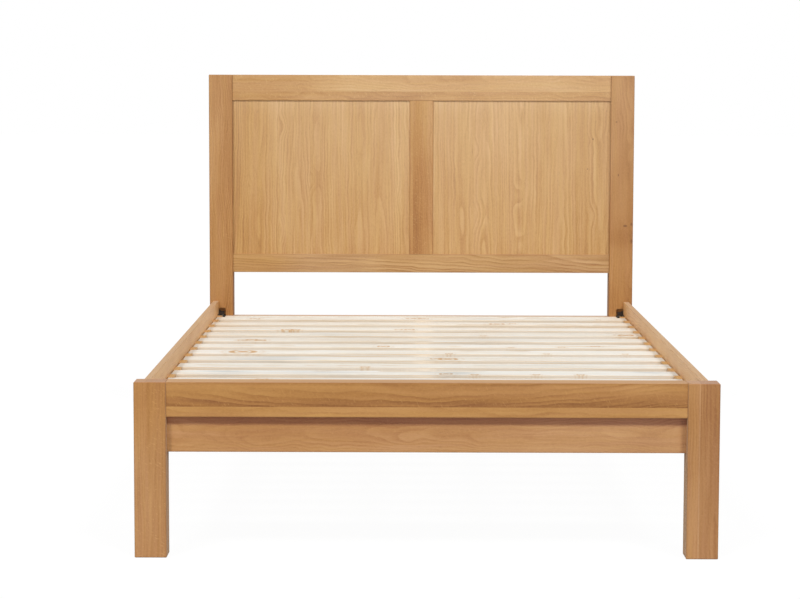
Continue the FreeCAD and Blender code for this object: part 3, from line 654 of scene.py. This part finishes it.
# Each slat is sawn from a place of its own in the log. The first ones, by the headboard, are a
# little darker: painted shade from the headboard.
for count in range(1, SLATS + 1):
    pine(f"slat_{count:02d}", "XYZ", CREAM_PINE, 80.0 + 2.3 * count, SLAT_KNOTS[count],
         SLAT_STAINS.get(count, ()), sawn_tan_and_shade=0.4, shade=min(0.0, 0.02 * count - 0.12),
         pith=(0.03 * math.sin(count * 2.1), 0.02 + 0.03 * (math.sin(count * 1.3) + 1)),
         lean=0.02 * math.sin(count * 0.9))


# Studio: a white floor that keeps the bed's shadow, a dome of soft light with two wide
# lamps, and a camera as high as the headboard and some six metres in front of the bed.

WHITE = (1.0, 1.0, 1.0, 1.0)
FLOOR_SIZE = 80.0
FLOOR_GREY = (0.42, 0.42, 0.42, 1.0)
FLOOR_SHADOW = (0.045, 0.045, 0.045, 1.0)
FLOOR_GLOW = 0.96


def seen_by_rays(tree):
    """1 for the rays that show a surface or the sky, seen directly, in gloss or through glass."""
    rays = Value(tree).node("LightPath", {}, {}, "Is Camera Ray")
    rays = rays + rays.other("Is Glossy Ray") + rays.other("Is Transmission Ray")
    return rays.math("MINIMUM", 1.0)


bpy.ops.mesh.primitive_plane_add(size=FLOOR_SIZE)
floor = bpy.context.object
floor.name = "studio_floor"
floor_white = new_material("floor_white")
seen = seen_by_rays(floor_white.node_tree)
paper = seen.node("BsdfDiffuse", {}, {"Color": FLOOR_GREY})
shaded = seen.node("BsdfDiffuse", {}, {"Color": FLOOR_SHADOW})
glow = seen.node("Emission", {}, {"Color": WHITE, "Strength": FLOOR_GLOW})
lit = glow.node("AddShader", {}, {0: glow, 1: shaded})
both = lit.node("MixShader", {}, {0: seen, 1: paper, 2: lit})
both.node("OutputMaterial", {}, {"Surface": both})
floor.data.materials.append(floor_white)

# The dome's light at the horizon in front, and its change straight above, behind and beside.
DOME_LEVEL = 0.93
DIMMER_ABOVE = 0.58
BRIGHTER_BEHIND = 0.25
DIMMER_BESIDE = 0.4

# The lamps' turn to each side, height and width in degrees, and their strength.
LAMP_TURN = 33
LAMP_HEIGHT = 49
LAMP_WIDTH = 11
LAMP_STRENGTH = 1.38

world = bpy.data.worlds.new("studio")
bpy.context.scene.world = world
world.use_nodes = True
world.node_tree.nodes.clear()
seen = seen_by_rays(world.node_tree)
towards_sky = seen.node("TexCoord", {}, {}, "Generated")
sideways = towards_sky.node("SeparateXYZ", {}, {0: towards_sky})
behind = sideways.other("Y").math("MAXIMUM")
above = sideways.other("Z").math("MAXIMUM")
dome = (DOME_LEVEL - above * DIMMER_ABOVE + behind * BRIGHTER_BEHIND
        - abs(sideways) * DIMMER_BESIDE)
sky = seen.node("Background", {}, {"Color": WHITE, "Strength": (1 - dome) * seen + dome})
sky.node("OutputWorld", {}, {"Surface": sky})

for name, turn in (("left_softbox", -LAMP_TURN), ("right_softbox", LAMP_TURN)):
    lamp = bpy.data.lights.new(name, "SUN")
    lamp.energy = LAMP_STRENGTH
    lamp.angle = math.radians(LAMP_WIDTH)
    holder = bpy.data.objects.new(name, lamp)
    a = math.radians(turn)
    e = math.radians(LAMP_HEIGHT)
    towards = Vector((math.sin(a) * math.cos(e), -math.cos(a) * math.cos(e), math.sin(e)))
    holder.rotation_euler = towards.to_track_quat("Z", "Y").to_euler()
    bpy.context.scene.collection.objects.link(holder)

# The camera's place in metres, its turns in degrees, and its lens and film in millimetres.
EYE = (-0.0541, -6.0160, 1.1765)
LOOKS_LEFT = 0.15
LOOKS_DOWN = 4.702
ROLL = 0.15
FOCAL_LENGTH = 91.92
FILM_WIDTH = 36.0
SHIFT_DOWN = 0.06

camera = bpy.data.cameras.new("camera")
camera.lens = FOCAL_LENGTH
camera.sensor_width = FILM_WIDTH
camera.shift_y = -SHIFT_DOWN
eye = bpy.data.objects.new("camera", camera)
eye.matrix_world = (Matrix.Translation(EYE)
                    @ Matrix.Rotation(math.radians(LOOKS_LEFT), 4, "Z")
                    @ Matrix.Rotation(math.radians(90 - LOOKS_DOWN), 4, "X")
                    @ Matrix.Rotation(math.radians(ROLL), 4, "Z"))
bpy.context.scene.collection.objects.link(eye)
bpy.context.scene.camera = eye
bpy.context.scene.view_settings.view_transform = "Standard"
